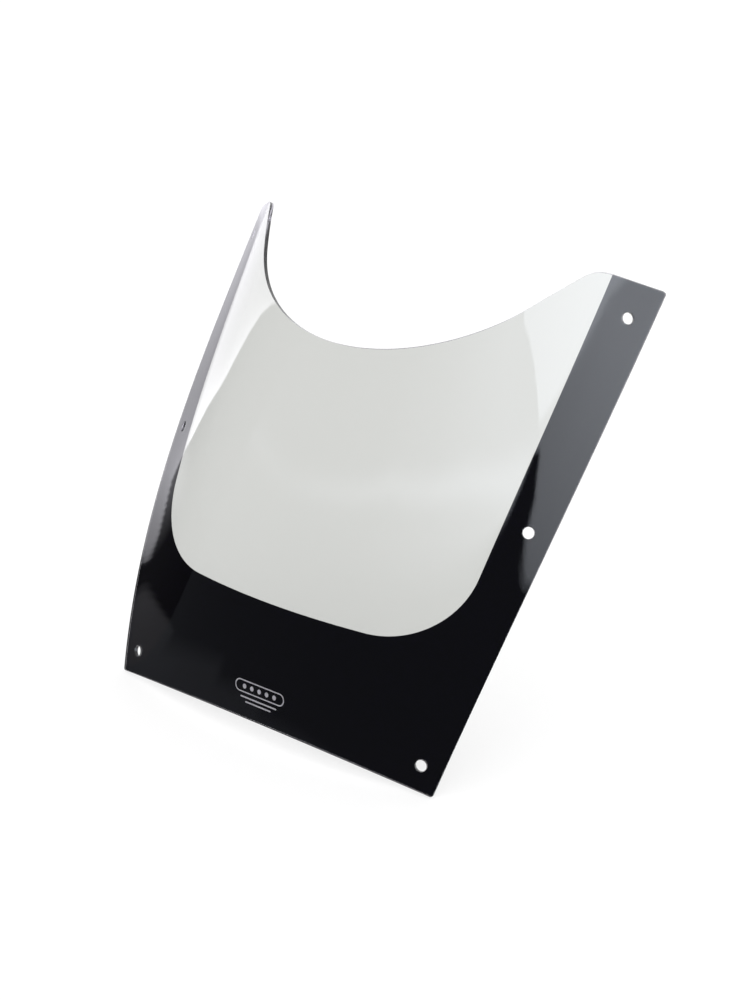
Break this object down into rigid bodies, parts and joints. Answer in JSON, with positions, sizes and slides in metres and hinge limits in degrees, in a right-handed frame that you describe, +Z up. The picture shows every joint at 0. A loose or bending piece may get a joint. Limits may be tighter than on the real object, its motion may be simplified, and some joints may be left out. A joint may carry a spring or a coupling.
{
  "type": "motorcycle windshield screen",
  "caption": "Clear formed acrylic motorcycle windscreen with a scooped top edge, a U-shaped black printed border on its inner face and mounting holes down both sides.",
  "frame": {"origin": "centre of the base of the bounding box, on the centre plane below the bottom edge, with the side edges leaned back 36 degrees as mounted", "axes": "+X to the right as seen from in front of the screen facing the rider, -Y to the front of the motorcycle, +Z up"},
  "size_m": [0.37, 0.2443, 0.3324],
  "materials": {
    "clear_acrylic": "polished clear acrylic, very lightly tinted",
    "black_ink": "opaque screen-printed ink, gloss where it is seen through the sheet and satin behind",
    "pale_ink": "opaque pale screen-printed ink"
  },
  "bodies": {
    "root": {"screen_sheet": "clear_acrylic", "border_print": "black_ink", "mark_print": "pale_ink"}
  },
  "joints": []
}
